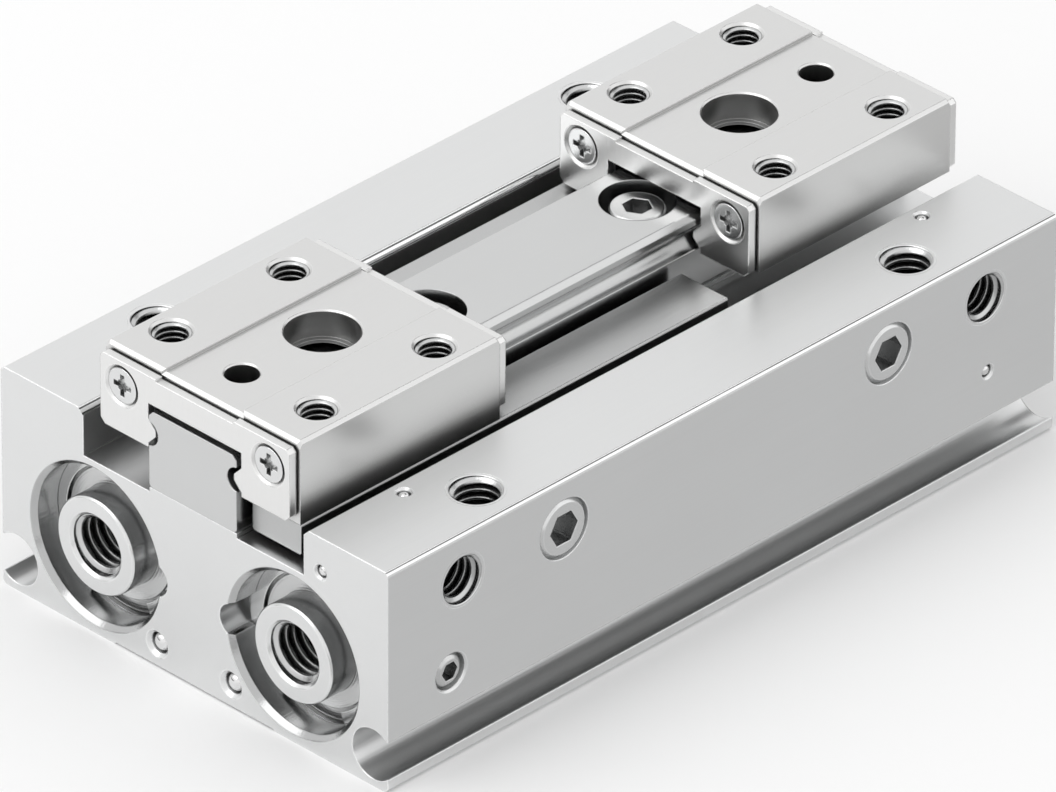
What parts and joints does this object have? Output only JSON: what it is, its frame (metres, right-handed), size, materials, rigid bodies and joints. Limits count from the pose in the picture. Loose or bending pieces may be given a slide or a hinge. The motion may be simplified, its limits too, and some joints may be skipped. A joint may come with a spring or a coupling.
{
  "type": "parallel gripper",
  "caption": "Compact pneumatic parallel gripper: jaws run on a ball guide rail, driven by twin pistons synchronised by a rack and pinion",
  "frame": {"origin": "middle of the base, on the lowest face", "axes": "+X along the stroke and the rail, +Z out of the base towards the jaws, +Y across the body"},
  "size_m": [0.07, 0.04, 0.025],
  "materials": {
    "body_alloy": "fine milled and clear anodised",
    "guide_steel": "ground",
    "jaw_steel": "ground",
    "plate_steel": "stamped and brushed",
    "bar_steel": "milled",
    "screw_steel": "turned",
    "plug_steel": "turned",
    "ring_steel": "bright spring steel",
    "ball_steel": "polished",
    "cap_alloy": "turned",
    "piston_alloy": "turned and hard anodised",
    "bush_bronze": "sintered bronze",
    "seal_rubber": "moulded",
    "magnet": "plastic-bonded magnet"
  },
  "bodies": {
    "body": {"housing": "body_alloy", "guide_rail": "guide_steel", "rail_screws": "screw_steel", "channel_balls": "ball_steel", "port_plugs": "plug_steel", "cap_lock_screws": "screw_steel", "cap_seals": "seal_rubber", "pinion_pin": "guide_steel", "pinion_cover": "cap_alloy", "pinion_cover_seal": "seal_rubber", "end_cap_a_front": "cap_alloy", "retaining_ring_a_front": "ring_steel", "end_cap_a_rear": "cap_alloy", "retaining_ring_a_rear": "ring_steel", "end_cap_b_front": "cap_alloy", "retaining_ring_b_front": "ring_steel", "end_cap_b_rear": "cap_alloy", "retaining_ring_b_rear": "ring_steel"},
    "carriage_a": {"jaw_a": "jaw_steel", "end_plate_outer_a": "plate_steel", "end_plate_inner_a": "plate_steel", "end_seal_outer_a": "seal_rubber", "end_seal_inner_a": "seal_rubber", "plate_screws_a": "screw_steel", "guide_balls_a": "ball_steel", "driver_bar_a": "bar_steel", "driver_screws_a": "screw_steel", "piston_a": "piston_alloy", "piston_seals_a": "seal_rubber", "piston_magnet_a": "magnet", "piston_buffers_a": "seal_rubber"},
    "carriage_b": {"jaw_b": "jaw_steel", "end_plate_outer_b": "plate_steel", "end_plate_inner_b": "plate_steel", "end_seal_outer_b": "seal_rubber", "end_seal_inner_b": "seal_rubber", "plate_screws_b": "screw_steel", "guide_balls_b": "ball_steel", "driver_bar_b": "bar_steel", "driver_screws_b": "screw_steel", "piston_b": "piston_alloy", "piston_seals_b": "seal_rubber", "piston_magnet_b": "magnet", "piston_buffers_b": "seal_rubber"},
    "pinion_wheel": {"pinion": "guide_steel", "pinion_bush": "bush_bronze"}
  },
  "joints": [
    {"name": "jaw_a_slide", "type": "slide", "parent": "body", "child": "carriage_a", "axis": [1, 0, 0], "range_m": [0, 0.01]},
    {"name": "jaw_b_slide", "type": "slide", "parent": "body", "child": "carriage_b", "axis": [-1, 0, 0], "range_m": [0, 0.01]},
    {"name": "pinion_turn", "type": "hinge", "parent": "body", "child": "pinion_wheel", "pos_m": [0, 0, 0.0075], "axis": [0, 0, 1], "range_deg": [0, 95.5]}
  ],
  "couplings": [
    {"joint": "jaw_b_slide", "follows": "jaw_a_slide", "ratio": 1},
    {"joint": "pinion_turn", "follows": "jaw_a_slide", "rad_per_m": 166.67}
  ]
}
